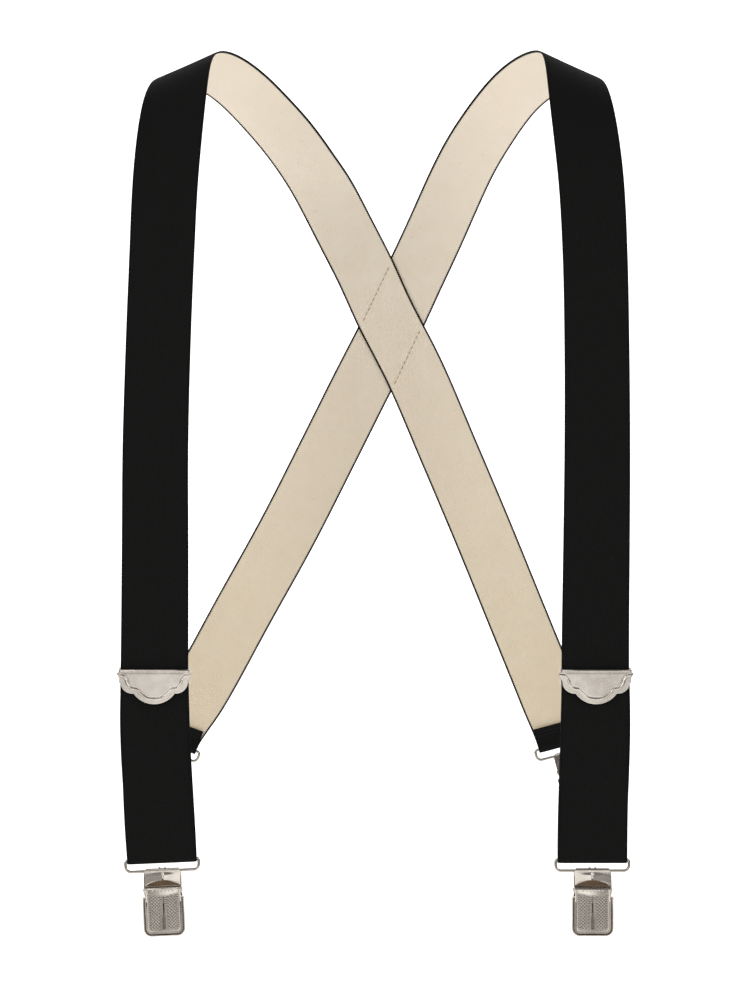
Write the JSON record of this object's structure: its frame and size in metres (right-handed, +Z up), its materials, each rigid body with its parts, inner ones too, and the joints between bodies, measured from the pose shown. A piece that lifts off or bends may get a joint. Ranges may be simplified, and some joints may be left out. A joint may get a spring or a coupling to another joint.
{
  "type": "suspenders",
  "caption": "X-back work suspenders: wide elastic webbings crossed at the back, with adjusters and wire bails that carry lever clips.",
  "frame": {"origin": "on the wearer's mid-plane at the height of the shoulders that the straps rest on, midway between the front and back straps", "axes": "+Z up, +Y towards the wearer's back, +X towards the wearer's left"},
  "size_m": [0.394, 0.2396, 0.6806],
  "materials": {
    "webbing": "woven elastic, black outside and cream inside",
    "thread": "spun polyester thread",
    "nickel_plate": "nickel-plated pressed steel",
    "spring_steel": "blued spring steel"
  },
  "bodies": {
    "root": {"left_strap": "webbing", "right_strap": "webbing", "crossing_stitches": "thread", "left_back_hem_stitches": "thread", "right_back_hem_stitches": "thread"},
    "left_drop": {"left_front_loop": "webbing"},
    "left_adjuster": {"left_adjuster_frame": "nickel_plate", "left_adjuster_pin": "nickel_plate"},
    "left_adjuster_lever": {"left_adjuster_cover": "nickel_plate"},
    "right_drop": {"right_front_loop": "webbing"},
    "right_adjuster": {"right_adjuster_frame": "nickel_plate", "right_adjuster_pin": "nickel_plate"},
    "right_adjuster_lever": {"right_adjuster_cover": "nickel_plate"},
    "left_front_bail": {"left_front_bail": "nickel_plate"},
    "left_front_clip": {"left_front_clip_base": "nickel_plate", "left_front_clip_axle": "nickel_plate", "left_front_clip_spring": "spring_steel"},
    "left_front_jaw": {"left_front_clip_jaw": "nickel_plate"},
    "left_front_lever": {"left_front_clip_lever": "nickel_plate"},
    "right_front_bail": {"right_front_bail": "nickel_plate"},
    "right_front_clip": {"right_front_clip_base": "nickel_plate", "right_front_clip_axle": "nickel_plate", "right_front_clip_spring": "spring_steel"},
    "right_front_jaw": {"right_front_clip_jaw": "nickel_plate"},
    "right_front_lever": {"right_front_clip_lever": "nickel_plate"},
    "left_back_bail": {"left_back_bail": "nickel_plate"},
    "left_back_clip": {"left_back_clip_base": "nickel_plate", "left_back_clip_axle": "nickel_plate", "left_back_clip_spring": "spring_steel"},
    "left_back_jaw": {"left_back_clip_jaw": "nickel_plate"},
    "left_back_lever": {"left_back_clip_lever": "nickel_plate"},
    "right_back_bail": {"right_back_bail": "nickel_plate"},
    "right_back_clip": {"right_back_clip_base": "nickel_plate", "right_back_clip_axle": "nickel_plate", "right_back_clip_spring": "spring_steel"},
    "right_back_jaw": {"right_back_clip_jaw": "nickel_plate"},
    "right_back_lever": {"right_back_clip_lever": "nickel_plate"}
  },
  "joints": [
    {"name": "left_drop_slide", "type": "slide", "parent": "root", "child": "left_drop", "axis": [0, 0, 1], "range_m": [-0.03, 0.075], "deforming": ["left_front_loop"]},
    {"name": "left_adjuster_slide", "type": "slide", "parent": "left_drop", "child": "left_adjuster", "axis": [0, 0, 1], "range_m": [-0.03, 0.075]},
    {"name": "left_adjuster_lever_hinge", "type": "hinge", "parent": "left_adjuster", "child": "left_adjuster_lever", "pos_m": [-0.1665, -0.1177, -0.465], "axis": [-1, 0, 0], "range_deg": [0, 100]},
    {"name": "right_drop_slide", "type": "slide", "parent": "root", "child": "right_drop", "axis": [0, 0, 1], "range_m": [-0.03, 0.075], "deforming": ["right_front_loop"]},
    {"name": "right_adjuster_slide", "type": "slide", "parent": "right_drop", "child": "right_adjuster", "axis": [0, 0, 1], "range_m": [-0.03, 0.075]},
    {"name": "right_adjuster_lever_hinge", "type": "hinge", "parent": "right_adjuster", "child": "right_adjuster_lever", "pos_m": [0.1645, -0.1177, -0.465], "axis": [-1, 0, 0], "range_deg": [0, 100]},
    {"name": "left_front_bail_swing", "type": "hinge", "parent": "left_drop", "child": "left_front_bail", "pos_m": [-0.161, -0.1129, -0.6062], "axis": [0.999, 0, 0.0436], "range_deg": [-40, 40]},
    {"name": "left_front_clip_swing", "type": "hinge", "parent": "left_front_bail", "child": "left_front_clip", "pos_m": [-0.16063, -0.1129, -0.61469], "axis": [0.999, 0, 0.0436], "range_deg": [-60, 60]},
    {"name": "left_front_lever_hinge", "type": "hinge", "parent": "left_front_clip", "child": "left_front_lever", "pos_m": [-0.16002, -0.1173, -0.62868], "axis": [-0.999, 0, -0.0436], "range_deg": [0, 100]},
    {"name": "left_front_jaw_hinge", "type": "hinge", "parent": "left_front_clip", "child": "left_front_jaw", "pos_m": [-0.16002, -0.1173, -0.62868], "axis": [-0.999, 0, -0.0436], "range_deg": [0, 8.5]},
    {"name": "right_front_bail_swing", "type": "hinge", "parent": "right_drop", "child": "right_front_bail", "pos_m": [0.162, -0.1129, -0.6062], "axis": [1, 0, 0], "range_deg": [-40, 40]},
    {"name": "right_front_clip_swing", "type": "hinge", "parent": "right_front_bail", "child": "right_front_clip", "pos_m": [0.162, -0.1129, -0.6147], "axis": [1, 0, 0], "range_deg": [-60, 60]},
    {"name": "right_front_lever_hinge", "type": "hinge", "parent": "right_front_clip", "child": "right_front_lever", "pos_m": [0.162, -0.1173, -0.6287], "axis": [-1, 0, 0], "range_deg": [0, 100]},
    {"name": "right_front_jaw_hinge", "type": "hinge", "parent": "right_front_clip", "child": "right_front_jaw", "pos_m": [0.162, -0.1173, -0.6287], "axis": [-1, 0, 0], "range_deg": [0, 8.5]},
    {"name": "left_back_bail_swing", "type": "hinge", "parent": "root", "child": "left_back_bail", "pos_m": [-0.1688, 0.1137, -0.5327], "axis": [-0.9397, 0, 0.342], "range_deg": [-40, 40]},
    {"name": "left_back_clip_swing", "type": "hinge", "parent": "left_back_bail", "child": "left_back_clip", "pos_m": [-0.17171, 0.1137, -0.54069], "axis": [-0.9397, 0, 0.342], "range_deg": [-60, 60]},
    {"name": "left_back_lever_hinge", "type": "hinge", "parent": "left_back_clip", "child": "left_back_lever", "pos_m": [-0.1765, 0.1181, -0.55384], "axis": [0.9397, 0, -0.342], "range_deg": [0, 100]},
    {"name": "left_back_jaw_hinge", "type": "hinge", "parent": "left_back_clip", "child": "left_back_jaw", "pos_m": [-0.1765, 0.1181, -0.55384], "axis": [0.9397, 0, -0.342], "range_deg": [0, 8.5]},
    {"name": "right_back_bail_swing", "type": "hinge", "parent": "root", "child": "right_back_bail", "pos_m": [0.1562, 0.1121, -0.5335], "axis": [-0.9659, 0, -0.2588], "range_deg": [-40, 40]},
    {"name": "right_back_clip_swing", "type": "hinge", "parent": "right_back_bail", "child": "right_back_clip", "pos_m": [0.1584, 0.1121, -0.54171], "axis": [-0.9659, 0, -0.2588], "range_deg": [-60, 60]},
    {"name": "right_back_lever_hinge", "type": "hinge", "parent": "right_back_clip", "child": "right_back_lever", "pos_m": [0.16202, 0.1165, -0.55523], "axis": [0.9659, 0, 0.2588], "range_deg": [0, 100]},
    {"name": "right_back_jaw_hinge", "type": "hinge", "parent": "right_back_clip", "child": "right_back_jaw", "pos_m": [0.16202, 0.1165, -0.55523], "axis": [0.9659, 0, 0.2588], "range_deg": [0, 8.5]}
  ],
  "couplings": [
    {"joint": "left_drop_slide", "follows": "left_adjuster_slide", "ratio": 1},
    {"joint": "right_drop_slide", "follows": "right_adjuster_slide", "ratio": 1},
    {"joint": "left_front_jaw_hinge", "follows": "left_front_lever_hinge", "ratio": 0.08},
    {"joint": "right_front_jaw_hinge", "follows": "right_front_lever_hinge", "ratio": 0.08},
    {"joint": "left_back_jaw_hinge", "follows": "left_back_lever_hinge", "ratio": 0.08},
    {"joint": "right_back_jaw_hinge", "follows": "right_back_lever_hinge", "ratio": 0.08}
  ]
}
